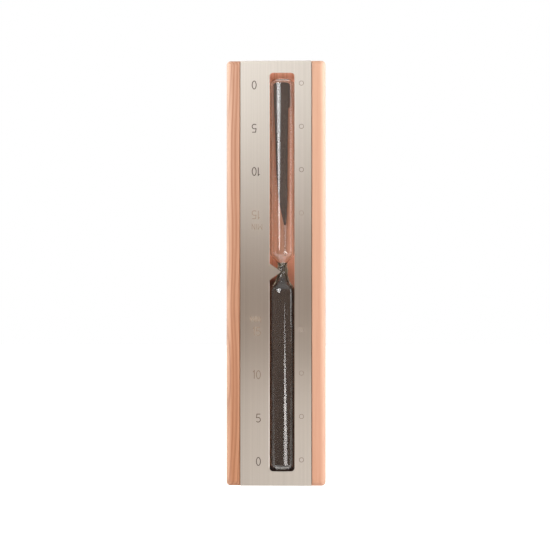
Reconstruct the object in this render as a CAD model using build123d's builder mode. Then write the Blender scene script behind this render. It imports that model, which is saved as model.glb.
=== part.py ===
from build123d import *
import os

# A turn-over sauna sand timer for a wall. A cedar body carries a brushed steel face plate with a
# long window, and a two-bulb glass vial lies in a groove behind it. The body turns end over end on
# a friction pivot that stands out of a small steel wall bracket.
#
# Millimetres. +Z runs up the timer's length, the wall is the plane y = 0 and the face looks
# towards -Y. The origin is on the pivot axis, in the plane of the wall. Distances out of the wall
# are named out_... and are positive, so a point that is out_a from the wall has y = -out_a.

# ---------------------------------------------------------------- driving dimensions
body_width, body_length, body_thickness = 70.0, 300.0, 30.0
corner_radius = 2.8        # the four upright corners of the front view
front_edge_radius = 4.5    # the long outer edges of the face
back_edge_radius = 1.0
lip_edge_radius = 0.4      # the arrises beside the face plate

bracket_width, bracket_length, bracket_thickness = 30.0, 120.0, 2.5
bracket_corner_radius = 8.0
wall_hole_diameter, wall_hole_spacing = 4.5, 100.0
bracket_edge_chamfer = 0.4

plate_width, plate_length, plate_thickness = 50.0, 299.4, 1.0
plate_sink = 0.4           # how far the face plate lies below the wooden lips
plate_side_gap = 0.5
plate_corner_radius = 0.5
tape_thickness, tape_length = 0.3, 288.0
window_width, window_length, window_corner_radius = 17.6, 280.8, 2.5
window_x, window_z = 4.35, 0.8
tab_reach, tab_height, tab_z = 8.15, 11.8, 0.9

vial_radius, vial_wall, vial_x = 9.0, 1.0, 4.5
vial_top_z, vial_bottom_z = 138.0, -139.3
vial_dome_height, vial_knuckle_radius = 4.6, 3.4
upper_shoulder_z, lower_shoulder_z = 15.5, -13.0
# The waist between the shoulders, as height, outer radius and bore radius. The bulbs are joined by a
# bead of thick glass with the sand's orifice through it.
waist_levels = [
    (12.0, 7.7, 6.8),
    (8.4, 4.8, 3.8),
    (5.8, 3.1, 1.6),
    (2.2, 3.85, 1.1),
    (-1.2, 3.6, 1.5),
    (-6.2, 5.2, 4.2),
    (-9.4, 7.5, 6.6),
]
vial_to_plate = 3.9        # from the vial's axis forward to the back of the face plate
groove_width, groove_clearance = 20.0, 1.3
pad_width, pad_length, pad_depth, pad_z = 12.0, 14.0, 2.6, 125.0
pad_corner_radius, pad_clearance = 1.0, 0.02

sand_gap = 0.06            # between the sand and the inside of the glass
sand_depths = [            # height and depth of the upper sand
    (136.0, 3.1),
    (121.0, 2.2),
    (100.0, 1.55),
    (72.0, 1.15),
    (58.0, 0.8),
    (47.0, 0.42),
    (34.0, 0.05),
]
# The lower sand's free surface: its top, how far it reaches in front of the vial's axis there, and
# the slope from which it fills the bulb.
lower_fill_top_z, lower_fill_reach = 5.0, 1.0
lower_slope_top_z, lower_slope_foot_z = -2.0, -7.5

numeral_height, numeral_width, stroke, mark_thickness = 6.2, 3.4, 0.6, 0.05
one_width, digit_gap = 1.5, 0.9
five_bowl_radius, five_bowl_inset, five_bowl_start, five_bowl_turn = 1.62, 1.2, 125, -265
five_stem_lean = 0.72      # where the five's stem leaves its top bar, from the middle to the side
scale_zero_z, scale_step = 132.6, 30.5
unit_z, unit_height, unit_stroke = 32.6, 4.2, 0.4
unit_m_half, unit_n_half = 1.35, 1.0
lower_right_edge_x, upper_left_edge_x = -10.6, -17.0
ring_x, ring_diameter, ring_stroke = 18.0, 3.4, 0.32
ring_lift = 1.2            # the rings stand a little above the numbers' middles

collar_radius, collar_thickness = 9.0, 2.5
stud_radius, thread_radius = 4.0, 3.0
rivet_radius, rivet_head_radius, rivet_head_height = 3.5, 5.0, 1.0
running_radial, running_axial = 0.05, 0.05
thrust_washer_radius, thrust_washer_thickness = 12.0, 1.5
bearing_width, bearing_thickness, bearing_corner_radius = 54.0, 1.5, 4.0
bearing_recess_gap = 0.3
bearing_screw_spacing = 42.0
screw_radius, screw_head_radius, screw_length = 1.5, 3.0, 10.0
screw_tip_radius, screw_tip_length = 0.3, 1.5
bush_barrel_radius, bush_flange_radius, bush_flange_thickness = 5.5, 7.5, 0.8
washer_radius, washer_thickness = 7.0, 1.0
spring_radius, spring_thickness, spring_height = 6.5, 0.5, 1.0
nut_across_flats, nut_height = 10.0, 4.5
insert_radius, insert_height = 4.2, 1.4
pocket_radius, pocket_end_clearance = 11.0, 1.0
stud_past_nut, stud_shoulder_inset, thread_chamfer = 1.0, 0.3, 0.6
thrust_bore_clearance, thread_bore_clearance = 0.1, 0.2

# ---------------------------------------------------------------- the stack, outwards from the wall
out_bracket = bracket_thickness
out_collar = out_bracket + collar_thickness
out_thrust = out_collar + thrust_washer_thickness
out_back = out_thrust + running_axial
out_bearing = out_back + bearing_thickness
out_bush = out_bearing + bush_flange_thickness
out_washer_back = out_bush + running_axial
out_washer = out_washer_back + washer_thickness
out_spring = out_washer + spring_height
out_nut = out_spring + nut_height
out_stud = out_nut + stud_past_nut
out_pocket = out_stud + pocket_end_clearance

out_front = out_back + body_thickness
out_plate = out_front - plate_sink
out_plate_back = out_plate - plate_thickness
out_rebate = out_plate_back - tape_thickness
out_vial = out_plate_back - vial_to_plate
out_groove = out_vial - vial_radius - groove_clearance

half_width, half_length = body_width / 2, body_length / 2
rebate_half_width = plate_width / 2 + plate_side_gap
groove_left, groove_right = vial_x - groove_width / 2, vial_x + groove_width / 2


def out_plane(out):
    """The plane at a distance out of the wall, its x along X, its y along Z, its normal outwards."""
    return Plane.XZ.offset(out)


# A half-section through the vial's axis: its x is the radius and its y is the height.
vial_section = Plane(origin=(vial_x, -out_vial, 0), x_dir=(1, 0, 0), z_dir=(0, -1, 0))
vial_axis = Axis((vial_x, -out_vial, 0), (0, 0, 1))


# ---------------------------------------------------------------- wooden body
with BuildPart() as wood_body:
    with BuildSketch(Plane.XY.offset(-half_length)):
        with BuildLine():
            Polyline(
                (-half_width, -out_back),
                (half_width, -out_back),
                (half_width, -out_front),
                (rebate_half_width, -out_front),
                (rebate_half_width, -out_rebate),
                (groove_right, -out_rebate),
                (groove_right, -out_groove),
                (groove_left, -out_groove),
                (groove_left, -out_rebate),
                (-rebate_half_width, -out_rebate),
                (-rebate_half_width, -out_front),
                (-half_width, -out_front),
                close=True,
            )
        make_face()
    extrude(amount=body_length)

    # The four corners of the front view, then the edges of the face and of the back.
    side_corners = (
        wood_body.edges().filter_by(Axis.Y).filter_by(lambda e: abs(e.center().X) > half_width - 0.1)
    )
    fillet(side_corners, radius=corner_radius)
    front_edges = wood_body.edges().filter_by_position(Axis.Y, -out_front - 0.1, -out_front + 0.1)
    outer_edges = front_edges.filter_by(Axis.Z).filter_by(lambda e: abs(e.center().X) > half_width - 0.1)
    fillet(outer_edges, radius=front_edge_radius)
    back_edges = wood_body.faces().sort_by(Axis.Y)[-1].edges()
    fillet(back_edges, radius=back_edge_radius)
    lip_edges = (
        wood_body.edges()
        .filter_by(Axis.Z)
        .filter_by_position(Axis.Y, -out_front - 0.1, -out_front + 0.1)
        .filter_by(lambda e: abs(abs(e.center().X) - rebate_half_width) < 0.1)
    )
    fillet(lip_edges, radius=lip_edge_radius)

    # The recess that the bearing plate lies in, the pocket for the pivot nut, the screw holes.
    with BuildSketch(out_plane(out_back)):
        recess_width = bearing_width + 2 * bearing_recess_gap
        RectangleRounded(recess_width, recess_width, bearing_corner_radius + bearing_recess_gap)
    extrude(amount=bearing_thickness, mode=Mode.SUBTRACT)
    with BuildSketch(out_plane(out_bearing)):
        Circle(pocket_radius)
    extrude(amount=out_pocket - out_bearing, mode=Mode.SUBTRACT)
    with BuildSketch(out_plane(out_bearing)):
        with GridLocations(bearing_screw_spacing, bearing_screw_spacing, 2, 2):
            Circle(screw_radius)
    extrude(amount=screw_length - bearing_thickness, mode=Mode.SUBTRACT)
wood_body.part.label = "wood_body"

# ---------------------------------------------------------------- face plate and its tape
with BuildPart() as face_plate:
    with BuildSketch(out_plane(out_plate_back)):
        RectangleRounded(plate_width, plate_length, plate_corner_radius)
        with Locations((window_x, window_z)):
            RectangleRounded(window_width, window_length, window_corner_radius, mode=Mode.SUBTRACT)
        # The pointed tab that reaches into the vial's waist and stops it sliding along the groove.
        window_left = window_x - window_width / 2
        with BuildLine():
            Polyline(
                (window_left - 1, tab_z - tab_height / 2),
                (window_left, tab_z - tab_height / 2),
                (window_left + tab_reach, tab_z),
                (window_left, tab_z + tab_height / 2),
                (window_left - 1, tab_z + tab_height / 2),
                close=True,
            )
        make_face()
    extrude(amount=plate_thickness)
face_plate.part.label = "face_plate"


def tape(left, right):
    """A strip of double-sided tape under the face plate, between two distances along X."""
    with BuildPart() as strip:
        with BuildSketch(out_plane(out_rebate)):
            with Locations(((left + right) / 2, 0)):
                Rectangle(right - left, tape_length)
        extrude(amount=tape_thickness)
    return strip.part


tape_inset = 1.0
plate_tape_left = tape(-plate_width / 2 + tape_inset, groove_left - tape_inset)
plate_tape_right = tape(groove_right + tape_inset, plate_width / 2 - tape_inset)
plate_tape_left.label = "plate_tape_left"
plate_tape_right.label = "plate_tape_right"

# ---------------------------------------------------------------- printed scale
numeral_half = (numeral_height - stroke) / 2
numeral_side = (numeral_width - stroke) / 2

with BuildSketch() as zero_mark:
    Ellipse(numeral_width / 2, numeral_height / 2)
    Ellipse(numeral_width / 2 - stroke, numeral_height / 2 - stroke, mode=Mode.SUBTRACT)

with BuildSketch() as five_mark:
    bowl_y = five_bowl_radius - numeral_half
    with BuildLine():
        Polyline(
            (numeral_side, numeral_half), (-numeral_side * five_stem_lean, numeral_half), (-numeral_side, 0)
        )
        bowl_centre = (-numeral_side + five_bowl_inset, bowl_y)
        CenterArc(bowl_centre, five_bowl_radius, five_bowl_start, five_bowl_turn)
    trace(line_width=stroke)

one_flag_drop = 1.0
with BuildSketch() as one_mark:
    with BuildLine():
        one_stem_x = (one_width - stroke) / 2
        Polyline(
            (-one_stem_x, numeral_half - one_flag_drop),
            (one_stem_x, numeral_half),
            (one_stem_x, -numeral_half),
        )
    trace(line_width=stroke)

unit_half = (unit_height - unit_stroke) / 2
with BuildSketch() as unit_mark:
    # The unit, in the order that it is read: M, I, N.
    letter_m_x, letter_i_x, letter_n_x = -2.5, 0.0, 2.15
    letter_m_dip = 0.3
    with BuildLine():
        Polyline(
            (letter_m_x - unit_m_half, -unit_half),
            (letter_m_x - unit_m_half, unit_half),
            (letter_m_x, -unit_half * letter_m_dip),
            (letter_m_x + unit_m_half, unit_half),
            (letter_m_x + unit_m_half, -unit_half),
        )
    trace(line_width=unit_stroke)
    with BuildLine():
        Line((letter_i_x, -unit_half), (letter_i_x, unit_half))
    trace(line_width=unit_stroke)
    with BuildLine():
        Polyline(
            (letter_n_x - unit_n_half, -unit_half),
            (letter_n_x - unit_n_half, unit_half),
            (letter_n_x + unit_n_half, -unit_half),
            (letter_n_x + unit_n_half, unit_half),
        )
    trace(line_width=unit_stroke)
unit_width = 2 * (letter_n_x + unit_n_half) + unit_stroke

marks = {"0": (zero_mark, numeral_width), "5": (five_mark, numeral_width), "1": (one_mark, one_width)}
scale = [("0", 0), ("5", 1), ("10", 2), ("15", 3)]


def place_number(text, edge_x, z, turn):
    """Adds a number whose last digit ends at edge_x, read upright (turn 0) or upside down (180)."""
    way = -1 if turn == 0 else 1
    reach = 0.0
    for digit in reversed(text):
        sketch, width = marks[digit]
        with Locations(Location((edge_x + way * (reach + width / 2), z), turn)):
            add(sketch.sketch)
        reach += width + digit_gap


with BuildPart() as scale_numerals:
    with BuildSketch(out_plane(out_plate)):
        for number, step in scale:
            height = scale_zero_z - step * scale_step
            place_number(number, lower_right_edge_x, -height, 0)
            place_number(number, upper_left_edge_x, height, 180)
        with Locations(Location((lower_right_edge_x - unit_width / 2, -unit_z), 0)):
            add(unit_mark.sketch)
        with Locations(Location((upper_left_edge_x + unit_width / 2, unit_z), 180)):
            add(unit_mark.sketch)
    extrude(amount=mark_thickness)
scale_numerals.part.label = "scale_numerals"

with BuildPart() as scale_rings:
    with BuildSketch(out_plane(out_plate)):
        ring_heights = [scale_zero_z - step * scale_step for number, step in scale]
        with Locations([(ring_x, ring_lift + side * z) for side in (-1, 1) for z in ring_heights]):
            Circle(ring_diameter / 2)
            Circle(ring_diameter / 2 - ring_stroke, mode=Mode.SUBTRACT)
    extrude(amount=mark_thickness)
scale_rings.part.label = "scale_rings"


# ---------------------------------------------------------------- glass vial
def dome_outline(radius, base_z, tip_z, shrink):
    """Half of a bulb's rounded end: a tight arc off the tube's side, then a wide one to the axis."""
    way = 1 if tip_z > base_z else -1
    rise = abs(tip_z - base_z)
    knuckle = vial_knuckle_radius - shrink
    inset = radius - knuckle
    crown = (inset**2 + rise**2 - knuckle**2) / (2 * (rise - knuckle))
    meeting_x = crown * inset / (crown - knuckle)
    meeting_rise = (rise - crown) * (1 - crown / (crown - knuckle))
    meeting = (meeting_x, base_z + way * meeting_rise)
    side_arc = TangentArc((radius, base_z), meeting, tangent=(0, way))
    TangentArc(meeting, (0, tip_z), tangent=side_arc % 1)


def hourglass(waist, shrink):
    """The closed solid of an hourglass that lies shrink inside the vial's outer surface.

    waist is the line between its shoulders, as pairs of radius and height.
    """
    radius = vial_radius - shrink
    upper_dome_z = vial_top_z - vial_dome_height
    lower_dome_z = vial_bottom_z + vial_dome_height
    with BuildPart() as solid:
        with BuildSketch(vial_section):
            with BuildLine():
                dome_outline(radius, upper_dome_z, vial_top_z - shrink, shrink)
                Line((radius, upper_dome_z), (radius, upper_shoulder_z))
                Spline(
                    (radius, upper_shoulder_z),
                    *waist,
                    (radius, lower_shoulder_z),
                    tangents=((0, -1), (0, -1)),
                )
                Line((radius, lower_shoulder_z), (radius, lower_dome_z))
                dome_outline(radius, lower_dome_z, vial_bottom_z + shrink, shrink)
                Line((0, vial_bottom_z + shrink), (0, vial_top_z - shrink))
            make_face()
        revolve(axis=vial_axis)
    return solid.part


outer_waist = [(outer_radius, z) for z, outer_radius, bore_radius in waist_levels]
bore_waist = [(bore_radius, z) for z, outer_radius, bore_radius in waist_levels]
with BuildPart() as glass_vial:
    add(hourglass(outer_waist, 0))
    add(hourglass(bore_waist, vial_wall), mode=Mode.SUBTRACT)
glass_vial.part.label = "glass_vial"

# ---------------------------------------------------------------- sand
# It fills the cavity less a small gap. The upper bulb's last sand lies in a wedge along the back
# wall, deepest at the closed end, and thins to a trickle at the waist.
sand_waist = [(radius - sand_gap, z) for radius, z in bore_waist]
sand_space = hourglass(sand_waist, vial_wall + sand_gap)
out_inner_back = out_vial - (vial_radius - vial_wall)
cut_margin = 2.0           # how far the cutting outline runs past the glass
side_view = Plane.YZ.offset(vial_x - vial_radius)

with BuildPart() as sand_upper:
    with BuildSketch(side_view):
        surface_points = [(-out_inner_back - depth, height) for height, depth in sand_depths]
        with BuildLine():
            surface = Spline(*surface_points)
            Polyline(
                surface @ 1,
                (-out_inner_back + cut_margin, sand_depths[-1][0]),
                (-out_inner_back + cut_margin, vial_top_z),
                (surface_points[0][0], vial_top_z),
                surface @ 0,
            )
        make_face()
    extrude(amount=2 * vial_radius)
    add(sand_space, mode=Mode.INTERSECT)
sand_upper.part.label = "sand_upper"

with BuildPart() as sand_lower:
    with BuildSketch(side_view):
        with BuildLine():
            Polyline(
                (-out_vial + vial_radius, lower_fill_top_z),
                (-out_vial - lower_fill_reach, lower_fill_top_z),
                (-out_vial - lower_fill_reach, lower_slope_top_z),
                (-out_vial - vial_radius, lower_slope_foot_z),
                (-out_vial - vial_radius, vial_bottom_z),
                (-out_vial + vial_radius, vial_bottom_z),
                close=True,
            )
        make_face()
    extrude(amount=2 * vial_radius)
    add(sand_space, mode=Mode.INTERSECT)
sand_lower.part.label = "sand_lower"


# ---------------------------------------------------------------- felt pads behind the vial
def vial_pad(z):
    """A felt block on the groove's floor, hollowed to the vial's round back."""
    with BuildPart() as pad:
        with BuildSketch(out_plane(out_groove)):
            with Locations((vial_x, z)):
                RectangleRounded(pad_width, pad_length, pad_corner_radius)
        extrude(amount=pad_depth)
        with BuildSketch(Plane.XY.offset(z - pad_length)):
            with Locations((vial_x, -out_vial)):
                Circle(vial_radius + pad_clearance)
        extrude(amount=2 * pad_length, mode=Mode.SUBTRACT)
    return pad.part


vial_pad_upper = vial_pad(pad_z)
vial_pad_lower = vial_pad(-pad_z)
vial_pad_upper.label = "vial_pad_upper"
vial_pad_lower.label = "vial_pad_lower"

# ---------------------------------------------------------------- bearing plate, screws and bush
countersink_depth = bearing_thickness
screw_places = GridLocations(bearing_screw_spacing, bearing_screw_spacing, 2, 2)

with BuildPart() as bearing_plate:
    with BuildSketch(out_plane(out_back)):
        RectangleRounded(bearing_width, bearing_width, bearing_corner_radius)
        Circle(bush_barrel_radius, mode=Mode.SUBTRACT)
    extrude(amount=bearing_thickness)
    for corner in screw_places:
        with Locations(out_plane(out_back) * corner * Location((0, 0, countersink_depth / 2))):
            Cone(screw_head_radius, screw_radius, countersink_depth, mode=Mode.SUBTRACT)
bearing_plate.part.label = "bearing_plate"

cross_length, cross_width, cross_depth = 3.2, 0.8, 0.9
with BuildPart() as bearing_screws:
    for corner in screw_places:
        with Locations(out_plane(out_back) * corner * Location((0, 0, countersink_depth / 2))):
            Cone(screw_head_radius, screw_radius, countersink_depth)
    with BuildSketch(out_plane(out_bearing)):
        with screw_places:
            Circle(screw_radius)
    extrude(amount=screw_length - bearing_thickness - screw_tip_length)
    tip_centre = screw_length - screw_tip_length / 2
    for corner in screw_places:
        with Locations(out_plane(out_back) * corner * Location((0, 0, tip_centre))):
            Cone(screw_radius, screw_tip_radius, screw_tip_length)
    with BuildSketch(out_plane(out_back)):
        with screw_places:
            Rectangle(cross_length, cross_width)
            Rectangle(cross_width, cross_length)
    extrude(amount=cross_depth, mode=Mode.SUBTRACT)
bearing_screws.part.label = "bearing_screws"

with BuildPart() as pivot_bush:
    with BuildSketch(out_plane(out_back)):
        Circle(bush_barrel_radius)
    extrude(amount=bearing_thickness)
    with BuildSketch(out_plane(out_bearing)):
        Circle(bush_flange_radius)
    extrude(amount=bush_flange_thickness)
    with BuildSketch(out_plane(out_back)):
        Circle(stud_radius + running_radial)
    extrude(amount=out_bush - out_back, mode=Mode.SUBTRACT)
pivot_bush.part.label = "pivot_bush"

# ---------------------------------------------------------------- wall bracket
with BuildPart() as wall_bracket:
    with BuildSketch(out_plane(0)):
        RectangleRounded(bracket_width, bracket_length, bracket_corner_radius)
        with GridLocations(0, wall_hole_spacing, 1, 2):
            Circle(wall_hole_diameter / 2, mode=Mode.SUBTRACT)
        Circle(rivet_radius, mode=Mode.SUBTRACT)
    extrude(amount=bracket_thickness)
    front_outline = wall_bracket.faces().sort_by(Axis.Y)[0].outer_wire().edges()
    chamfer(front_outline, length=bracket_edge_chamfer)
    with Locations(out_plane(rivet_head_height / 2).location):
        Cone(rivet_head_radius, rivet_radius, rivet_head_height, mode=Mode.SUBTRACT)
wall_bracket.part.label = "wall_bracket"

# ---------------------------------------------------------------- pivot stud
stud_shoulder_out = out_bush - stud_shoulder_inset
with BuildPart() as pivot_stud:
    with BuildSketch(Plane.XY):
        with BuildLine():
            Polyline(
                (0, 0),
                (rivet_head_radius, 0),
                (rivet_radius, -rivet_head_height),
                (rivet_radius, -out_bracket),
                (collar_radius, -out_bracket),
                (collar_radius, -out_collar),
                (stud_radius, -out_collar),
                (stud_radius, -stud_shoulder_out),
                (thread_radius, -stud_shoulder_out),
                (thread_radius, -out_stud + thread_chamfer),
                (thread_radius - thread_chamfer, -out_stud),
                (0, -out_stud),
                close=True,
            )
        make_face()
    revolve(axis=Axis.Y)
pivot_stud.part.label = "pivot_stud"


def ring(out_start, out_end, outer_radius, bore_radius):
    """A flat ring around the pivot, between two distances out of the wall."""
    with BuildPart() as washer:
        with BuildSketch(out_plane(out_start)):
            Circle(outer_radius)
            Circle(bore_radius, mode=Mode.SUBTRACT)
        extrude(amount=out_end - out_start)
    return washer.part


thread_bore = thread_radius + thread_bore_clearance
thrust_bore = stud_radius + thrust_bore_clearance
thrust_washer = ring(out_collar, out_thrust, thrust_washer_radius, thrust_bore)
thrust_washer.label = "thrust_washer"
flat_washer = ring(out_washer_back, out_washer, washer_radius, thread_bore)
flat_washer.label = "flat_washer"

# The conical spring washer that sets the pivot's friction. Its rim rests on the flat washer.
with BuildPart() as spring_washer:
    with BuildSketch(Plane.XY):
        with BuildLine():
            Polyline(
                (spring_radius, -out_washer),
                (spring_radius, -out_washer - spring_thickness),
                (thread_bore, -out_spring),
                (thread_bore, -out_spring + spring_thickness),
                close=True,
            )
        make_face()
    revolve(axis=Axis.Y)
spring_washer.part.label = "spring_washer"

# ---------------------------------------------------------------- lock nut and its nylon insert
out_insert = out_nut - insert_height
with BuildPart() as lock_nut:
    with BuildSketch(out_plane(out_spring)):
        RegularPolygon(nut_across_flats / 2, 6, major_radius=False)
        Circle(thread_radius, mode=Mode.SUBTRACT)
    extrude(amount=nut_height)
    with BuildSketch(out_plane(out_insert)):
        Circle(insert_radius)
    extrude(amount=insert_height, mode=Mode.SUBTRACT)
lock_nut.part.label = "lock_nut"

nut_insert = ring(out_insert, out_nut, insert_radius, thread_radius)
nut_insert.label = "nut_insert"

# ---------------------------------------------------------------- write one STEP per sub-part
sub_parts = [
    wood_body.part, face_plate.part, plate_tape_left, plate_tape_right, scale_numerals.part,
    scale_rings.part, glass_vial.part, sand_upper.part, sand_lower.part, vial_pad_upper,
    vial_pad_lower, bearing_plate.part, bearing_screws.part, pivot_bush.part, wall_bracket.part,
    pivot_stud.part, thrust_washer, flat_washer, spring_washer.part, lock_nut.part, nut_insert,
]  # fmt: skip
os.makedirs("parts", exist_ok=True)
for sub_part in sub_parts:
    export_step(sub_part, f"parts/{sub_part.label}.step")
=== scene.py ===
import math
import random

import bmesh
import bpy
from mathutils import Matrix, Vector, noise


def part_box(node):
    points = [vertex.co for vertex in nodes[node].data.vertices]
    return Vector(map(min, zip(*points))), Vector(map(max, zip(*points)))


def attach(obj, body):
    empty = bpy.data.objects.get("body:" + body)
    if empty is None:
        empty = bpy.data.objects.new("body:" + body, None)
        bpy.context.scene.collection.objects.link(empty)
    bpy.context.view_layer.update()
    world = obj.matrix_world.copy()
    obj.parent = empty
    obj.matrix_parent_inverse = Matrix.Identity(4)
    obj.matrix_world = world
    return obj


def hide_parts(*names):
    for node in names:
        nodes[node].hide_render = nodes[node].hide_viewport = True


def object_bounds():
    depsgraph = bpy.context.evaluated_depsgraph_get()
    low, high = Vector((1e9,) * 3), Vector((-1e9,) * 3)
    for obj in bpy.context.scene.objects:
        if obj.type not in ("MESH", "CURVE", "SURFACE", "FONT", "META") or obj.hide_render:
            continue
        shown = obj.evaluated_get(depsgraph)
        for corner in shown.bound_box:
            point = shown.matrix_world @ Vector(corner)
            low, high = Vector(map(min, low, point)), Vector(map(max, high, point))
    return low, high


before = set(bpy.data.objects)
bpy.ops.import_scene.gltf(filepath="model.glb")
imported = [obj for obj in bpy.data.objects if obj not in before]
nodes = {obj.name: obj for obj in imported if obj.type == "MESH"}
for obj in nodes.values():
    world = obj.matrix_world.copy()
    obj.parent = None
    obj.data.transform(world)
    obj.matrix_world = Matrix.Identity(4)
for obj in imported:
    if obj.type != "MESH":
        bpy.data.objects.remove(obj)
cad_low, cad_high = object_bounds()
scene = bpy.context.scene

MM = 0.001

# ------------------------------------------------------------------ places, from the CAD parts
plate_front_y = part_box("face_plate")[0].y
wood_low, wood_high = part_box("wood_body")
vial_low, vial_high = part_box("glass_vial")
vial_x = (vial_low.x + vial_high.x) / 2
vial_y = (vial_low.y + vial_high.y) / 2
vial_radius = (vial_high.x - vial_low.x) / 2
vial_top, vial_bottom = vial_high.z, vial_low.z
upper_sand_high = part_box("sand_upper")[1]
window_left = vial_low.x + 0.05 * MM  # the window is a hair narrower than the vial

# The vial's shape. It is the CAD's but for the waist, where two more levels, and shoulders that lie
# up to 1.4 mm further from the middle, make the glass rounder.
vial_wall = 1.0 * MM
dome_height, knuckle_radius = 4.6 * MM, 3.4 * MM
upper_shoulder_z, lower_shoulder_z = 16.2 * MM, -14.4 * MM
waist_levels = [  # height, outer radius, bore radius
    (13.4, 8.6, 7.65),
    (11.7, 7.5, 6.6),
    (8.4, 4.8, 3.8),
    (5.8, 3.1, 1.6),
    (2.2, 3.85, 1.1),
    (-1.2, 3.6, 1.5),
    (-6.2, 5.2, 4.2),
    (-9.4, 7.45, 6.6),
    (-11.2, 8.6, 7.65),
]
sand_gap = 0.06 * MM
sand_levels = [  # height, depth over the bulb's back wall and lean to the right in degrees
    (136.0, 3.1, -8),
    (121.0, 2.2, -11),
    (100.0, 1.55, -8),
    (72.0, 1.15, -5),
    (58.0, 0.8, 1),
    (47.0, 0.42, 5),
    (34.0, 0.05, 12),
]
lower_sand_levels = [  # height, and how far the lower sand reaches in front of the vial's axis
    (5.0, 1.0),
    (-2.0, 1.0),
    (-7.5, 8.0),
]


# ------------------------------------------------------------------ material graphs
class Graph:
    """A material's node tree, with short ways to add nodes and links."""

    def __init__(self, name):
        self.material = bpy.data.materials.new(name)
        self.material.use_nodes = True
        self.tree = self.material.node_tree
        self.tree.nodes.clear()
        self.output = self.add("ShaderNodeOutputMaterial")

    def add(self, kind, **settings):
        node = self.tree.nodes.new(kind)
        for key, value in settings.items():
            setattr(node, key, value)
        return node

    def feed(self, socket, value):
        """Links a socket to another one, or sets its plain value."""
        if isinstance(value, bpy.types.NodeSocket):
            self.tree.links.new(value, socket)
        else:
            socket.default_value = value

    def coordinates(self):
        return self.add("ShaderNodeTexCoord").outputs["Object"]

    def mapping(self, vector, scale):
        node = self.add("ShaderNodeMapping")
        self.feed(node.inputs["Vector"], vector)
        node.inputs["Scale"].default_value = scale
        return node.outputs["Vector"]

    def noise(self, vector, scale, detail=3.0, roughness=0.5):
        node = self.add("ShaderNodeTexNoise")
        self.feed(node.inputs["Vector"], vector)
        node.inputs["Scale"].default_value = scale
        node.inputs["Detail"].default_value = detail
        node.inputs["Roughness"].default_value = roughness
        return node.outputs["Fac"]

    def cells(self, vector, scale):
        """Distance from each grain's middle, and a random value for each grain."""
        node = self.add("ShaderNodeTexVoronoi")
        self.feed(node.inputs["Vector"], vector)
        node.inputs["Scale"].default_value = scale
        return node.outputs["Distance"], self.split(node.outputs["Color"])[0]

    def math(self, operation, first, second=0.0):
        node = self.add("ShaderNodeMath", operation=operation)
        self.feed(node.inputs[0], first)
        self.feed(node.inputs[1], second)
        return node.outputs[0]

    def remap(self, value, low, high, new_low=0.0, new_high=1.0):
        node = self.add("ShaderNodeMapRange")
        self.feed(node.inputs["Value"], value)
        node.inputs["From Min"].default_value = low
        node.inputs["From Max"].default_value = high
        node.inputs["To Min"].default_value = new_low
        node.inputs["To Max"].default_value = new_high
        return node.outputs["Result"]

    def mix(self, factor, first, second, blend="MIX"):
        node = self.add("ShaderNodeMix", data_type="RGBA", blend_type=blend)
        self.feed(node.inputs[0], factor)
        for socket, value in ((node.inputs[6], first), (node.inputs[7], second)):
            self.feed(socket, value if isinstance(value, bpy.types.NodeSocket) else (*value, 1))
        return node.outputs[2]

    def split(self, vector):
        node = self.add("ShaderNodeSeparateXYZ")
        self.feed(node.inputs[0], vector)
        return node.outputs

    def join(self, x, y, z):
        node = self.add("ShaderNodeCombineXYZ")
        for socket, value in zip(node.inputs, (x, y, z)):
            self.feed(socket, value)
        return node.outputs[0]

    def bump(self, height, distance, strength=1.0):
        node = self.add("ShaderNodeBump")
        self.feed(node.inputs["Height"], height)
        node.inputs["Distance"].default_value = distance
        node.inputs["Strength"].default_value = strength
        return node.outputs["Normal"]

    def principled(self, **values):
        """The surface shader. The keys are its sockets' names, with _ for a space."""
        node = self.add("ShaderNodeBsdfPrincipled")
        for key, value in values.items():
            self.feed(node.inputs[key.replace("_", " ")], value)
        self.feed(self.output.inputs["Surface"], node.outputs["BSDF"])
        return node


def srgb(red, green, blue):
    """A display colour, 0 to 255, as the linear values that shaders take."""
    linear = []
    for channel in (red, green, blue):
        value = channel / 255
        linear.append(value / 12.92 if value <= 0.04045 else ((value + 0.055) / 1.055) ** 2.4)
    return tuple(linear)


def scaled(colour, factor):
    return tuple(min(1.0, c * factor) for c in colour)


# ------------------------------------------------------------------ materials
# The groove behind the vial: the depths where its painted light starts and ends, and where painted
# shade fills its foot.
groove_lit_y, groove_floor_y = wood_low.y + 0.002, vial_y + vial_radius + 0.0015
groove_reach_x, groove_shade_z = 0.0102, vial_bottom + 0.006
# The tree's pith, and how far apart its rings are.
pith_x, pith_y, ring_spacing = 0.034, 0.022, 0.0021
# The painted highlight along each rounded long edge: its width across the front, and the depths it
# fades over.
edge_highlight_width, edge_highlight_low_y, edge_highlight_high_y = 0.004, wood_low.y + 0.003, wood_low.y + 0.006


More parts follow.
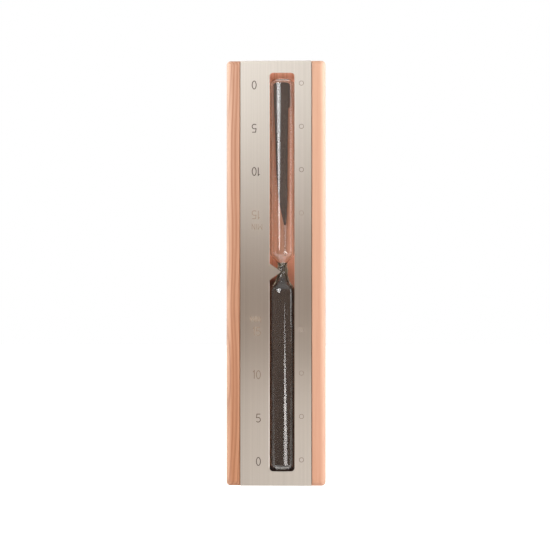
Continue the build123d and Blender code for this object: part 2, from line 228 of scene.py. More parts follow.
def cedar():
    """Oiled cedar. Its rings run round a pith behind the right-hand side, so they cross the left
    lip steeply as close lines and lie nearly level under the right lip."""
    g = Graph("cedar")
    place = g.coordinates()
    x, y, z = g.split(place)
    wander = g.noise(g.mapping(place, (25, 25, 7)), 1.0, 2.0)
    drift = g.math("MULTIPLY", g.math("SUBTRACT", wander, 0.5), 0.012)
    across = g.math("ADD", g.math("SUBTRACT", x, pith_x), drift)
    deep = g.math("SUBTRACT", y, pith_y)
    squares = g.math("ADD", g.math("MULTIPLY", across, across), g.math("MULTIPLY", deep, deep))
    radius = g.math("ADD", g.math("SQRT", squares), g.math("MULTIPLY", z, 0.004))
    uneven = g.noise(g.join(radius, 0.0, 0.0), 300.0, 2.0)
    count = g.math("MULTIPLY", radius, 1 / ring_spacing)
    count = g.math("ADD", count, g.math("MULTIPLY", uneven, 4.5))
    ring = g.math("FRACT", count)
    late = g.math("MULTIPLY", g.remap(ring, 0.3, 0.75), g.remap(ring, 0.75, 1.0, 1.0, 0.0))
    fibre = g.noise(g.mapping(place, (2400, 2400, 40)), 1.0, 3.0, 0.6)
    streak = g.noise(g.mapping(place, (330, 330, 6)), 1.0, 4.0, 0.6)
    broad = g.noise(g.mapping(place, (40, 40, 4)), 1.0, 2.0)
    # The left side is sawn across the rings and shows them most.
    quarter = g.remap(x, -0.02, 0.03, 0.7, 0.1)
    tone = g.mix(g.remap(broad, 0.3, 0.7), srgb(193, 158, 138), srgb(186, 148, 125))
    tone = g.mix(g.math("MULTIPLY", late, quarter), tone, srgb(142, 92, 63))
    tone = g.mix(g.remap(streak, 0.4, 0.75, 0.0, 0.4), tone, srgb(174, 129, 103))
    tone = g.mix(g.remap(fibre, 0.55, 0.8, 0.0, 0.25), tone, srgb(138, 92, 67))
    # Painted shade: the colour is deeper along the left lip, and it deepens further towards the
    # lower end.
    rightward = g.remap(x, -0.03, 0.03)
    left_shade_tint = g.mix(rightward, (0.74, 0.69, 0.66), (0.85, 0.83, 0.81))
    tone = g.mix(1.0, tone, left_shade_tint, blend="MULTIPLY")
    low_shade_tint = g.mix(rightward, (0.81, 0.66, 0.51), (0.87, 0.76, 0.7))
    tone = g.mix(g.remap(z, 0.15, -0.14), tone, g.mix(1.0, tone, low_shade_tint, blend="MULTIPLY"))
    # Painted highlight: the rounded long edges are paler, more so towards the top.
    side = g.remap(g.math("ABSOLUTE", x), wood_high.x - edge_highlight_width, wood_high.x)
    edge_highlight = g.math("MULTIPLY", side, g.remap(y, edge_highlight_high_y, edge_highlight_low_y))
    edge_highlight = g.math("MULTIPLY", edge_highlight, g.remap(z, -0.14, 0.14, 0.13, 0.34))
    tone = g.mix(edge_highlight, tone, srgb(238, 222, 206))
    # Painted light: inside the groove the wood is made brighter.
    inside = g.math("LESS_THAN", g.math("ABSOLUTE", g.math("SUBTRACT", x, vial_x)), groove_reach_x)
    inside = g.math("MULTIPLY", inside, g.math("LESS_THAN", y, groove_floor_y))
    inside = g.math("MULTIPLY", inside, g.remap(y, groove_lit_y, groove_lit_y + 0.004))
    tone = g.mix(inside, tone, g.mix(1.0, tone, (2.1, 1.9, 1.95), blend="MULTIPLY"))
    # Painted shade darkens the groove beside the lower bulb, and its lower end most of all.
    shade_line = g.remap(x, vial_x - 0.006, vial_x + 0.006, -0.001, -0.008)
    below = g.remap(g.math("SUBTRACT", z, shade_line), 0.0, -0.005, 0.0, 0.7)
    below = g.math("MAXIMUM", below, g.remap(z, groove_shade_z, groove_shade_z - 0.003))
    tone = g.mix(g.math("MULTIPLY", inside, below), tone, srgb(52, 36, 29))
    height = g.math("ADD", g.math("MULTIPLY", fibre, 0.6), g.math("MULTIPLY", late, 0.4))
    g.principled(
        Base_Color=tone,
        Roughness=g.remap(fibre, 0.3, 0.7, 0.5, 0.64),
        Specular_IOR_Level=0.3,
        Normal=g.bump(height, 0.00005, 0.5),
    )
    return g.material


# The painted glint's width, and the heights from the middle at which the tab ends and the window
# ends.
# Each has two values, between which the glint fades.
glint_near, glint_far = 0.0003, 0.0007
tab_near, tab_far = 0.005, 0.008
end_near, end_far = 0.136, 0.138


def window_glint_mask(g, place, edge_x):
    """A painted highlight along the window's edge at edge_x, where the edge catches light, apart
    from the tab. It is bright in the lower half and faint in the upper one."""
    x, _, z = g.split(place)
    from_edge = g.math("ABSOLUTE", g.math("SUBTRACT", x, edge_x))
    from_middle = g.math("ABSOLUTE", z)
    glint = g.remap(from_edge, glint_far, glint_near)
    glint = g.math("MULTIPLY", glint, g.remap(from_middle, tab_near, tab_far))
    glint = g.math("MULTIPLY", glint, g.remap(from_middle, end_far, end_near))
    return g.math("MULTIPLY", glint, g.remap(z, 0.02, -0.01, 0.35, 1.0))


def brushed(name, colour, roughness, anisotropy=0.75, contrast=0.1, glint_x=None):
    """Metal brushed along Z, which smears what it reflects across its lines."""
    g = Graph(name)
    place = g.coordinates()

    def lines(across, along):
        return g.noise(g.mapping(place, (across, across, along)), 1.0, 3.0, 0.65)

    hair, line, band = lines(6000, 8), lines(1500, 3), lines(300, 1)
    shade = g.math("ADD", g.math("MULTIPLY", hair, 0.3), g.math("MULTIPLY", line, 0.5))
    shade = g.math("ADD", shade, g.math("MULTIPLY", band, 0.2))
    cloud = g.noise(place, 45.0, 2.0)
    dark, light = scaled(colour, 1 - contrast), scaled(colour, 1 + contrast)
    tone = g.mix(g.remap(shade, 0.3, 0.7), dark, light)
    # A painted highlight along the window's edge.
    if glint_x is not None:
        tone = g.mix(window_glint_mask(g, place, glint_x), tone, glint_colour)
    rough = g.remap(line, 0.3, 0.7, roughness - 0.01, roughness + 0.01)
    rough = g.math("ADD", rough, g.remap(cloud, 0.3, 0.7, -0.005, 0.005))
    tangent = g.add("ShaderNodeTangent", direction_type="RADIAL", axis="Z")
    g.principled(
        Base_Color=tone,
        Metallic=1.0,
        Roughness=rough,
        Anisotropic=anisotropy,
        Tangent=tangent.outputs[0],
        Normal=g.bump(shade, 0.000004, 0.5),
    )
    return g.material


def plain_metal(name, colour, roughness=0.28):
    """Turned or plated metal, faintly mottled."""
    g = Graph(name)
    place = g.coordinates()
    spots = g.noise(place, 900.0, 3.0, 0.6)
    wear = g.noise(place, 90.0, 3.0)
    mottle = 0.12
    tone = g.mix(g.remap(spots, 0.3, 0.7), scaled(colour, 1 - mottle), scaled(colour, 1 + mottle))
    g.principled(
        Base_Color=tone,
        Metallic=1.0,
        Roughness=g.remap(wear, 0.3, 0.7, roughness - 0.06, roughness + 0.08),
        Normal=g.bump(spots, 0.00001, 0.4),
    )
    return g.material


def clear_glass():
    """Clear glass that lets lamps through to the sand and the groove."""
    g = Graph("clear_glass")
    place = g.coordinates()
    wave = g.noise(g.mapping(place, (40, 40, 9)), 1.0, 1.0)
    glass = g.principled(
        Base_Color=(0.98, 0.99, 0.985, 1),
        Roughness=0.05,
        IOR=1.5,
        Transmission_Weight=1.0,
        Normal=g.bump(wave, 0.00002, 0.3),
    )
    passing = g.add("ShaderNodeBsdfTransparent")
    passing.inputs["Color"].default_value = (0.97, 0.975, 0.972, 1)
    path = g.add("ShaderNodeLightPath")
    both = g.add("ShaderNodeMixShader")
    g.feed(both.inputs[0], path.outputs["Is Shadow Ray"])
    g.feed(both.inputs[1], glass.outputs[0])
    g.feed(both.inputs[2], passing.outputs[0])
    g.feed(g.output.inputs["Surface"], both.outputs[0])
    return g.material


def dark_sand():
    """Fine dark grains, with a pale one here and there."""
    g = Graph("dark_sand")
    place = g.coordinates()
    edge, pick = g.cells(place, 4200.0)
    tone = g.mix(g.remap(pick, 0.0, 0.75), srgb(12, 9, 8), srgb(36, 28, 25))
    tone = g.mix(g.remap(pick, 0.9, 1.0), tone, srgb(84, 72, 66))
    # The thin sand of the upper bulb is paler.
    paler_above = g.remap(g.split(place)[2], 0.0, 0.03)
    tone = g.mix(paler_above, tone, g.mix(g.remap(pick, 0.0, 1.0), srgb(52, 44, 43), srgb(94, 84, 80)))
    g.principled(
        Base_Color=tone,
        Roughness=g.remap(pick, 0.0, 1.0, 0.9, 0.6),
        Specular_IOR_Level=0.12,
        Normal=g.bump(edge, 0.0001, 0.7),
    )
    return g.material


def pale_dust():
    """Single grains of dust."""
    g = Graph("pale_dust")
    pick = g.noise(g.coordinates(), 5000.0, 2.0)
    g.principled(
        Base_Color=g.mix(g.remap(pick, 0.3, 0.7), srgb(116, 102, 88), srgb(172, 158, 140)),
        Roughness=g.remap(pick, 0.3, 0.7, 0.75, 0.95),
        Specular_IOR_Level=0.3,
    )
    return g.material


def caked_dust():
    """Dust and glue in lumps, some dark and some pale."""
    g = Graph("caked_dust")
    place = g.coordinates()
    lumps, specks = g.noise(place, 700.0, 3.0, 0.6), g.noise(place, 6000.0, 2.0)
    tone = g.mix(g.remap(lumps, 0.35, 0.65), srgb(58, 49, 42), srgb(168, 154, 134))
    g.principled(
        Base_Color=g.mix(g.remap(specks, 0.4, 0.7, 0.0, 0.5), tone, srgb(104, 92, 78)),
        Roughness=g.remap(specks, 0.3, 0.7, 0.8, 0.95),
        Specular_IOR_Level=0.2,
        Normal=g.bump(lumps, 0.0002, 0.8),
    )
    return g.material


# Heights over which the printed marks are worn: at the waist, measured from the middle, and down
# the lower scale.
worn_near, worn_far = 0.045, 0.058
lower_worn_top, lower_worn_foot = -0.065, -0.12


def ink(name, fade, worn_colours):
    """Printed marks, paler by fade. Those nearest the waist are worn almost away, and the lower
    scale is worn further out than the upper one."""
    g = Graph(name)
    place = g.coordinates()
    z = g.split(place)[2]
    specks = g.noise(place, 7000.0, 2.0)
    worn = g.remap(g.math("ABSOLUTE", z), worn_near, worn_far, 1.0, 0.0)
    lower = g.remap(z, lower_worn_foot, lower_worn_top, 0.0, 0.7)
    lower = g.math("MULTIPLY", g.math("LESS_THAN", z, 0.0), lower)
    worn = g.math("MAXIMUM", worn, lower)
    dark = g.mix(g.remap(specks, 0.35, 0.7), srgb(46, 37, 33), srgb(76, 65, 59))
    pale = g.mix(g.remap(specks, 0.35, 0.7), *worn_colours)
    dark = g.mix(fade, dark, pale)
    g.principled(
        Base_Color=g.mix(worn, dark, pale),
        Roughness=g.remap(specks, 0.3, 0.7, 0.5, 0.7),
        Specular_IOR_Level=0.3,
    )
    return g.material


def felt():
    """Grey felt."""
    g = Graph("felt")
    place = g.coordinates()
    fuzz = g.noise(place, 3500.0, 4.0, 0.7)
    g.principled(
        Base_Color=g.mix(fuzz, srgb(70, 64, 60), srgb(112, 104, 98)),
        Roughness=0.95,
        Sheen_Weight=0.4,
        Normal=g.bump(fuzz, 0.0003, 0.9),
    )
    return g.material


def plastic(name, colour, roughness):
    """Matt plastic or tape."""
    g = Graph(name)
    place = g.coordinates()
    skin = g.noise(place, 1800.0, 3.0)
    tone = g.mix(g.noise(place, 120.0, 2.0), scaled(colour, 0.92), colour)
    g.principled(
        Base_Color=tone,
        Roughness=g.remap(skin, 0.3, 0.7, roughness - 0.05, roughness + 0.07),
        Normal=g.bump(skin, 0.00002, 0.5),
    )
    return g.material


def dress(names, material, bevel=0.0):
    """Gives CAD nodes a material, and softens their sharp edges where bevel is given."""
    for name in names:
        target = nodes[name]
        target.data.materials.clear()
        target.data.materials.append(material)
        if bevel:
            edges = target.modifiers.new("soft_edges", "BEVEL")
            edges.width = bevel
            edges.segments = 2
            edges.limit_method = "ANGLE"
            edges.angle_limit = math.radians(50)
            edges.harden_normals = False


# The second colour is the painted highlight along the window's left edge.
steel_colour, glint_colour = (0.45, 0.43, 0.395), (0.82, 0.79, 0.76)
zinc_colour = (0.60, 0.61, 0.62)
worn_numerals = (srgb(127, 112, 98), srgb(150, 134, 116))
worn_rings = (srgb(150, 137, 125), srgb(163, 150, 139))
dress(["wood_body"], cedar())
face = brushed("brushed_face", steel_colour, 0.37, 1.0, 0.11, window_left)
dress(["face_plate"], face, bevel=0.3 * MM)
dress(["scale_numerals"], ink("ink", 0.0, worn_numerals))
dress(["scale_rings"], ink("ring_ink", 0.3, worn_rings))
dress(["vial_pad_upper", "vial_pad_lower"], felt())
dress(["plate_tape_left", "plate_tape_right"], plastic("tape", (0.75, 0.75, 0.73), 0.6))
dress(["thrust_washer", "nut_insert"], plastic("nylon", (0.80, 0.79, 0.74), 0.4))
dress(["bearing_plate", "wall_bracket"], brushed("zinc_plate", zinc_colour, 0.36), bevel=0.12 * MM)
dress(["bearing_screws", "flat_washer", "lock_nut"], plain_metal("zinc_fixings", zinc_colour))
dress(["pivot_stud"], plain_metal("turned_steel", (0.56, 0.56, 0.57), 0.25))
dress(["spring_washer"], plain_metal("spring_steel", (0.20, 0.20, 0.21), 0.35))
dress(["pivot_bush"], plain_metal("brass", (0.72, 0.52, 0.24), 0.25))


# ------------------------------------------------------------------ the vial's shape
def smooth_between(levels, z):
    """A smooth curve through (height, value) pairs, level at both ends, read at height z."""
    slopes = [0.0]
    for (z0, r0), (z2, r2) in zip(levels, levels[2:]):
        slopes.append((r2 - r0) / (z2 - z0))
    slopes.append(0.0)
    for (z0, r0), (z1, r1), s0, s1 in zip(levels, levels[1:], slopes, slopes[1:]):
        if z1 <= z <= z0:
            t, span = (z - z0) / (z1 - z0), z1 - z0
            return (
                r0 * (1 + 2 * t) * (1 - t) ** 2
                + span * s0 * t * (1 - t) ** 2
                + r1 * t * t * (3 - 2 * t)
                + span * s1 * t * t * (t - 1)
            )
    return levels[0][1]


def dome_radius(depth, shrink):
    """The radius of a rounded end at a depth below its tip: a wide crown, then a tight knuckle."""
    radius, rise, knuckle = vial_radius - shrink, dome_height - shrink, knuckle_radius - shrink
    inset = radius - knuckle
    crown = (inset**2 + rise**2 - knuckle**2) / (2 * (rise - knuckle))
    meeting = crown - crown * (crown - rise) / (crown - knuckle)
    if depth < meeting:
        return math.sqrt(max(0.0, crown**2 - (crown - depth) ** 2))
    return inset + math.sqrt(max(0.0, knuckle**2 - (rise - depth) ** 2))


def vial_radius_at(z, shrink=0.0, gap=0.0):
    """The vial's radius at a height, on the surface that lies shrink inside the outer one."""
    depth = min(vial_top - z, z - vial_bottom) - shrink
    if depth < dome_height - shrink:
        return dome_radius(max(depth, 0.0), shrink)
    if not lower_shoulder_z < z < upper_shoulder_z:
        return vial_radius - shrink
    column = 2 if shrink else 1
    waist = [(level[0] * MM, level[column] * MM - gap) for level in waist_levels]
    side = vial_radius - shrink
    return smooth_between([(upper_shoulder_z, side), *waist, (lower_shoulder_z, side)], z)


def vial_heights(shrink):
    """Heights from the top to the bottom: close together in the rounded ends and at the waist."""
    dome_steps, waist_steps, side_steps = 18, 56, 30
    top, bottom = vial_top - shrink, vial_bottom + shrink
    rise = dome_height - shrink
    near_tip = [rise * (i / dome_steps) ** 2 for i in range(dome_steps + 1)]
    upper = [top - h for h in near_tip]
    lower = [bottom + h for h in reversed(near_tip)]
    waist = upper_shoulder_z - lower_shoulder_z
    eased = [(1 - math.cos(math.pi * i / side_steps)) / 2 for i in range(1, side_steps + 1)]
    between = [upper[-1] + (upper_shoulder_z - upper[-1]) * t for t in eased]
    between += [upper_shoulder_z - waist * i / waist_steps for i in range(1, waist_steps + 1)]
    between += [lower_shoulder_z + (lower[0] - lower_shoulder_z) * t for t in eased]
    return upper + between[:-1] + lower


def add_lathe(mesh, outline, inward=False):
    """Adds a surface of revolution about the vial's axis. outline is (radius, height), top first."""
    segments = 96
    angles = [2 * math.pi * i / segments for i in range(segments)]
    pole_radius = 1e-7
    rings = []
    for radius, z in outline:
        if radius < pole_radius:
            rings.append([mesh.verts.new((vial_x, vial_y, z))] * segments)
            continue
        spots = [(vial_x + radius * math.cos(a), vial_y + radius * math.sin(a), z) for a in angles]
        rings.append([mesh.verts.new(spot) for spot in spots])
    for upper, lower in zip(rings, rings[1:]):
        for i in range(segments):
            j = (i + 1) % segments
            corners = list(dict.fromkeys((upper[i], lower[i], lower[j], upper[j])))
            if len(corners) > 2:
                mesh.faces.new(corners[::-1] if inward else corners)


def finish_piece(name, mesh, material, replaced):
    """Makes an object that rides with the turning body. replaced is the CAD node it stands for,
    or None."""
    data = bpy.data.meshes.new(name)
    mesh.to_mesh(data)
    mesh.free()
    data.shade_smooth()
    data.materials.append(material)
    piece = bpy.data.objects.new(name, data)
    scene.collection.objects.link(piece)
    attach(piece, "timer")
    if replaced:
        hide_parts(replaced)


def blown_vial():
    """The glass, with its outer surface and its bore."""
    mesh = bmesh.new()
    add_lathe(mesh, [(vial_radius_at(z), z) for z in vial_heights(0.0)])
    bore = [(vial_radius_at(z, vial_wall), z) for z in vial_heights(vial_wall)]
    add_lathe(mesh, bore, inward=True)
    finish_piece("blown_vial", mesh, clear_glass(), "glass_vial")


# ------------------------------------------------------------------ sand
sand_shrink = vial_wall + sand_gap
sand_material = dark_sand()


def read_levels(levels, column, z, unit):
    """A value from a table of levels at a height, held past its ends."""
    line = [(level[0] * MM, level[column] * unit) for level in levels]
    if z >= line[0][0]:
        return line[0][1]
    if z <= line[-1][0]:
        return line[-1][1]
    return smooth_between(line, z)


def wedge_depth(z):
    """Depth of the upper bulb's sand over the bulb's back wall."""
    return read_levels(sand_levels, 1, z, MM)


def wedge_lean(z):
    """How far round to the right the upper sand's middle lies, as an angle."""
    return read_levels(sand_levels, 2, z, math.radians(1))


def sand_ring(z, surface, lean):
    """The sand's outline at a height: round the back of the glass, then across its free surface.

    surface is that face's distance behind the vial's axis, and lean is how far round to the right
    the sand's middle lies. Where the face would lie in front of the bore, the outline is the full
    circle.
    """
    round_steps, across_steps = 44, 20
    radius = vial_radius_at(z, sand_shrink, sand_gap)
    half = math.acos(max(-1.0, min(1.0, surface / radius))) if radius > 0 else 0.0
    middle = math.pi / 2 - lean
    rim = []
    for i in range(round_steps + 1):
        angle = middle - half + 2 * half * i / round_steps
        rim.append(radius * Vector((math.cos(angle), math.sin(angle))))
    inward = Vector((-math.cos(middle), -math.sin(middle)))
    width = (rim[-1] - rim[0]).length
    for i in range(1, across_steps):
        t = i / across_steps
        spot = rim[round_steps].lerp(rim[0], t)
        bumps = noise.noise(Vector((spot.x * 2200, z * 2200, 3.0)))
        bumps += 0.6 * noise.noise(Vector((spot.x * 700, z * 260, 9.0)))
        depth = min(0.09 * MM, 0.05 * width) * min(1.0, 8 * t * (1 - t))
        rim.append(spot + inward * bumps * depth)
    return [Vector((vial_x + p.x, vial_y + p.y, z)) for p in rim]


def loft(rings):
    """A closed mesh through outlines of equal length, from the first to the last."""
    mesh = bmesh.new()
    loops = [[mesh.verts.new(p) for p in ring] for ring in rings]
    size = len(loops[0])
    for upper, lower in zip(loops, loops[1:]):
        for i in range(size):
            j = (i + 1) % size
            mesh.faces.new((upper[i], lower[i], lower[j], upper[j]))
    mesh.faces.new(loops[0])
    mesh.faces.new(loops[-1][::-1])
    bmesh.ops.remove_doubles(mesh, verts=mesh.verts, dist=0.002 * MM)
    bmesh.ops.recalc_face_normals(mesh, faces=mesh.faces)
    return mesh


def lower_sand():
    """Sand that fills the lower bulb, and the back of the cone and the bore above it."""
    heights = [z for z in vial_heights(sand_shrink) if z < lower_sand_levels[0][0] * MM]
    rings = [sand_ring(z, -read_levels(lower_sand_levels, 1, z, MM), 0.0) for z in heights]
    finish_piece("settled_sand", loft(rings), sand_material, "sand_lower")


def upper_sand():
    """The last of the sand, a wedge along the upper bulb's back wall."""
    top, tip = upper_sand_high.z - 0.05 * MM, 34.3 * MM
    steps = 240
    heights = [top - (top - tip) * i / steps for i in range(steps + 1)]
    back = vial_radius - sand_shrink
    rings = [sand_ring(z, back - wedge_depth(z), wedge_lean(z)) for z in heights]
    finish_piece("sand_wedge", loft(rings), sand_material, "sand_upper")


def grain_cloud(name, spots, material, rng):
    """One piece made of many small angular grains. spots are pairs of place and size."""
    pattern = bmesh.new()
    bmesh.ops.create_icosphere(pattern, subdivisions=1, radius=0.5)
    corners = [v.co.copy() for v in pattern.verts]
    sides = [[v.index for v in face.verts] for face in pattern.faces]
    pattern.free()
    mesh = bmesh.new()
    for spot, size in spots:
        angle = rng.uniform(0, math.pi)
        turn = Matrix.Rotation(angle, 3, Vector([rng.uniform(-1, 1) for _ in range(3)]))
        width, height = size * rng.uniform(0.7, 1), size * rng.uniform(0.6, 0.9)
        shape = turn @ Matrix.Diagonal((size, width, height))
        points = [mesh.verts.new(spot + shape @ corner) for corner in corners]
        for side in sides:
            mesh.faces.new([points[i] for i in side])
    finish_piece(name, mesh, material, None)


def off_axis(reach, angle, z):
    """The point at a distance from the vial's axis, at an angle to the right of its back."""
    turn = math.pi / 2 - angle
    return Vector((vial_x + reach * math.cos(turn), vial_y + reach * math.sin(turn), z))


def on_glass(z, angle, size):
    """A grain's place against the bore."""
    return off_axis(max(0.0, vial_radius_at(z, sand_shrink, sand_gap) - size / 2), angle, z)


def loose_grains():
    """The trickle from the wedge's tip down to the waist, and strays along the wedge's edges."""
    rng = random.Random(11)
    spots = []
    trickle_grains, stray_grains = 1500, 350
    low, high = 12.5 * MM, 46 * MM
    for _ in range(trickle_grains):
        z = rng.uniform(low, high)
        spread = 1.0 * MM + 0.8 * MM * (z - low) / (high - low)
        size = rng.uniform(0.14, 0.26) * MM
        sideways = max(-1.6, min(1.6, rng.gauss(0, 0.6))) * spread
        radius = vial_radius_at(z, sand_shrink, sand_gap)
        spots.append((on_glass(z, wedge_lean(z) + sideways / radius, size), size))
    back = vial_radius - sand_shrink
    for _ in range(stray_grains):
        z = rng.uniform(high, upper_sand_high.z - 8 * MM)
        half = math.acos((back - wedge_depth(z)) / back)
        size = rng.uniform(0.12, 0.22) * MM
        side = rng.choice((-1, 1))
        angle = side * (half + abs(rng.gauss(0, 0.35)) * MM / back)
        spots.append((on_glass(z, wedge_lean(z) + angle, size), size))
    grain_cloud("loose_grains", spots, sand_material, rng)


def waist_dust():
    """Fine pale dust that clings to the glass all round the waist."""
    rng = random.Random(5)
    spots = []
    dust_grains = 2600
    for _ in range(dust_grains):
        z = rng.triangular(-9.0, 5.5, -4.0) * MM
        size = rng.uniform(0.08, 0.15) * MM
        spots.append((on_glass(z, rng.uniform(-math.pi, math.pi), size), size))
    grain_cloud("waist_dust", spots, pale_dust(), rng)


def cake_spot(row_share, column_share, lift):
    """A point of the caked dust, lift above the glass. The shares run from 0 to 1, down the ragged
    patch and across it."""
    spread = 2.1
    angle = spread * (2 * column_share - 1)
    ragged = noise.noise(Vector((angle * 3, 0.0, 5.0)))
    top, foot = (6.6 + 1.2 * ragged) * MM, (-9.0 + 1.5 * ragged) * MM
    z = top + (foot - top) * row_share
    lump = noise.noise(Vector((angle * 4, z * 700, 1.0)))
    return off_axis(vial_radius_at(z) + lift * (1 + 0.6 * lump), angle, z)


def dust_cake():
    """Dust and glue squeezings that have caked on the outside of the waist, behind it."""
    mesh = bmesh.new()
    rows, columns = 44, 48
    inner, outer = (
        [
            [mesh.verts.new(cake_spot(i / rows, j / columns, lift)) for j in range(columns + 1)]
            for i in range(rows + 1)
        ]
        for lift in (0.05 * MM, 0.16 * MM)
    )
    for layer in (inner, outer):
        for upper, lower in zip(layer, layer[1:]):
            for j in range(columns):
                mesh.faces.new((upper[j], lower[j], lower[j + 1], upper[j + 1]))
    # The rim joins the two layers along all four edges.
    edges = [(inner[0], outer[0]), (inner[rows], outer[rows])]
    for column in (0, columns):
        edges.append(([row[column] for row in inner], [row[column] for row in outer]))
    for inside, outside in edges:
        for i in range(len(inside) - 1):
            mesh.faces.new((inside[i], inside[i + 1], outside[i + 1], outside[i]))
    bmesh.ops.recalc_face_normals(mesh, faces=mesh.faces)
    finish_piece("dust_cake", mesh, caked_dust(), None)


blown_vial()
dust_cake()
lower_sand()
upper_sand()
loose_grains()
waist_dust()


# ------------------------------------------------------------------ studio
def studio_world():
    """White to the camera. As light it is bright beside and behind the timer and dim in front."""
    sky = bpy.data.worlds.new("studio")
    scene.world = sky
    sky.use_nodes = True
    tree = sky.node_tree
    tree.nodes.clear()
    add, link = tree.nodes.new, tree.links.new
    output = add("ShaderNodeOutputWorld")
    seen, lit = add("ShaderNodeBackground"), add("ShaderNodeBackground")
    seen.inputs["Color"].default_value = (1, 1, 1, 1)
    place, parts = add("ShaderNodeTexCoord"), add("ShaderNodeSeparateXYZ")
    link(place.outputs["Generated"], parts.inputs[0])

    def blend(coordinate, start, end, first, second):
        level = add("ShaderNodeMapRange")
        level.interpolation_type = "SMOOTHSTEP"
        level.inputs["From Min"].default_value = start
        level.inputs["From Max"].default_value = end
        link(parts.outputs[coordinate], level.inputs["Value"])
        colour = add("ShaderNodeMix")
        colour.data_type = "RGBA"
        link(level.outputs["Result"], colour.inputs[0])
        for socket, value in ((colour.inputs[6], first), (colour.inputs[7], second)):
            if isinstance(value, bpy.types.NodeSocket):
                link(value, socket)
            else:
                socket.default_value = (*value, 1)
        return colour.outputs[2]

    behind = blend("X", -0.3, 0.8, left_room, right_room)
    front = blend("Z", -0.16, 0.0, front_low, front_room)
    walls = blend("Y", 0.02, 0.3, front, behind)
    link(blend("Z", 0.3, 0.7, walls, overhead), lit.inputs["Color"])
    path, both = add("ShaderNodeLightPath"), add("ShaderNodeMixShader")
    link(path.outputs["Is Camera Ray"], both.inputs[0])
    link(lit.outputs[0], both.inputs[1])
    link(seen.outputs[0], both.inputs[2])
    link(both.outputs[0], output.inputs["Surface"])


def soft_card(name, rows, distance, strength, dull_only=False, glow_levels=(1, 1), tint=(1, 1, 1)):
    """A glowing card, curved round the vial. rows are height and the azimuths of its two edges,
    in degrees to the right of straight in front, and, where it isn't 1, a share of the strength.
    glow_levels share it out further from left to right, and tint colours it. A dull_only card lights
    surfaces but isn't seen in reflections or through glass."""
    mesh = bmesh.new()
    share = mesh.verts.layers.float_color.new("share")
    columns = 24
    grid = []
    for height, left, right, *row_share in rows:
        line = []
        for i in range(columns + 1):
            angle = math.radians(left + (right - left) * i / columns)
            spot = (vial_x + distance * math.sin(angle), vial_y - distance * math.cos(angle), height)
            line.append(mesh.verts.new(spot))
            t = i / columns * (len(glow_levels) - 1)
            step = min(int(t), len(glow_levels) - 2)
            level = glow_levels[step] + (glow_levels[step + 1] - glow_levels[step]) * (t - step)
            level *= row_share[0] if row_share else 1
            line[-1][share] = (*(level * channel for channel in tint), 1)
        grid.append(line)
    for low, high in zip(grid, grid[1:]):
        for i in range(columns):
            mesh.faces.new((low[i], high[i], high[i + 1], low[i + 1]))
    data = bpy.data.meshes.new(name)
    mesh.to_mesh(data)
    mesh.free()
    glow = Graph(name)
    shine = glow.add("ShaderNodeEmission")
    shares = glow.add("ShaderNodeAttribute", attribute_name="share")
    glow.feed(shine.inputs["Color"], shares.outputs["Color"])
    shine.inputs["Strength"].default_value = strength
    glow.feed(glow.output.inputs["Surface"], shine.outputs[0])
    data.materials.append(glow.material)
    card = bpy.data.objects.new(name, data)
    scene.collection.objects.link(card)
    card.visible_camera = False
    card.visible_glossy = card.visible_transmission = not dull_only


def around(azimuth, elevation, distance, centre):
    """The point at an azimuth to the right of straight in front and an elevation, from centre."""
    a, e = math.radians(azimuth), math.radians(elevation)
    return Vector(centre) + distance * Vector(
        (math.sin(a) * math.cos(e), -math.cos(a) * math.cos(e), math.sin(e))
    )


front_room = (0.54, 0.395, 0.31)
front_low = (0.3, 0.22, 0.17)
left_room = (0.95, 0.92, 0.89)
right_room = (1.15, 1.1, 1.06)
overhead = (0.9, 0.87, 0.84)
studio_world()

# Two soft boxes that taper towards the middle height: they make the vial's two streaks of light,
# and they leave the face darker in the middle than at its top and bottom.
soft_card(
    "upper_left_box",
    [
        (0.02, -31, -22),
        (0.07, -33, -21),
        (0.12, -39, -21),
        (0.18, -45, -17),
        (0.25, -53, -13),
        (0.34, -58, -10),
        (0.66, -60, -5),
    ],
    1.2,
    8.7,
    glow_levels=(0, 0.6, 0.9, 0.9, 0.88, 0.85, 0.8, 0.7, 0.55, 0.35, 0.1),
)
soft_card(
    "lower_right_box",
    [
        (-0.03, 18, 26, 0.45),
        (-0.06, 18, 28, 0.6),
        (-0.09, 17, 32, 0.85),
        (-0.12, 16, 37, 1.1),
        (-0.147, 15, 42, 1.25),
        (-0.171, 14, 47, 1.1),
        (-0.194, 13, 51, 0.85),
        (-0.235, 12, 59, 0.93),
        (-0.32, 12, 60, 0.93),
    ],
    0.7,
    6.1,
    glow_levels=(0, 0.7, 0.95, 1, 1, 0.95, 0.8, 0.4, 0),
    tint=(1, 0.95, 0.92),
)
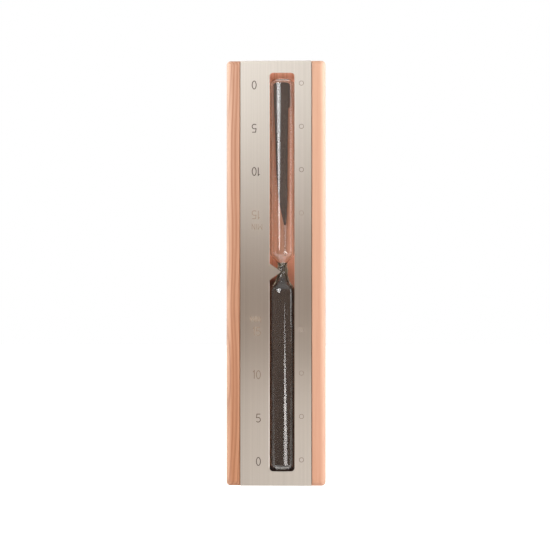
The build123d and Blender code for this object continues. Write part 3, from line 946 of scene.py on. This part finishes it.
# Fill light from above in front, and light along the wooden edges from both sides. Only dull
# surfaces catch these three.
soft_card("high_fill", [(0.22, -60, 50), (0.55, -60, 50)], 0.6, 5.5, dull_only=True)
soft_card("right_rim", [(-0.3, 72, 102), (0.35, 72, 102)], 0.6, 7.0, dull_only=True)
soft_card("left_rim", [(-0.3, -102, -72), (0.35, -102, -72)], 0.6, 4.5, dull_only=True)
# Narrow cards at the sides: they draw the edges of the glass and of the window.
right_edge_rows = [(-0.4, 94, 104), (-0.09, 94, 104), (-0.04, 80, 104), (0.5, 80, 104)]
soft_card("right_edge_card", right_edge_rows, 0.9, 2.4)
soft_card("left_edge_card", [(-0.1, -122, -96), (0.5, -122, -96)], 0.9, 2.2)

floor_drop = 0.11
floor_size, floor_front = 6.0, 0.3
floor_middle = (0, floor_size / 2 - floor_front, cad_low.z - floor_drop)
bpy.ops.mesh.primitive_plane_add(size=floor_size, location=floor_middle)
floor = bpy.context.object
floor.name = "floor"
ground = Graph("floor")
seen_directly = ground.add("ShaderNodeLightPath").outputs["Is Camera Ray"]
ground.principled(
    Base_Color=(0.85, 0.85, 0.85, 1),
    Roughness=0.85,
    Emission_Color=(1, 1, 1, 1),
    Emission_Strength=ground.remap(seen_directly, 0.0, 1.0, 0.1, 0.6),
)
floor.data.materials.append(ground.material)

# ------------------------------------------------------------------ camera
camera_distance, view_height = 1.1, 0.3873
camera_azimuth, camera_elevation = 2.0, -0.5
view_middle_x, view_middle_z = -0.0006, -0.0014
camera_data = bpy.data.cameras.new("camera")
camera = bpy.data.objects.new("camera", camera_data)
scene.collection.objects.link(camera)
scene.camera = camera
camera_data.lens = camera_data.sensor_width * camera_distance / view_height
camera_data.clip_start, camera_data.clip_end = 0.05, 50
target = Vector((view_middle_x, plate_front_y, view_middle_z))
camera.location = around(camera_azimuth, camera_elevation, camera_distance, target)
camera.rotation_mode = "QUATERNION"
camera.rotation_quaternion = (target - camera.location).to_track_quat("-Z", "Y")

scene.view_settings.view_transform = "Standard"
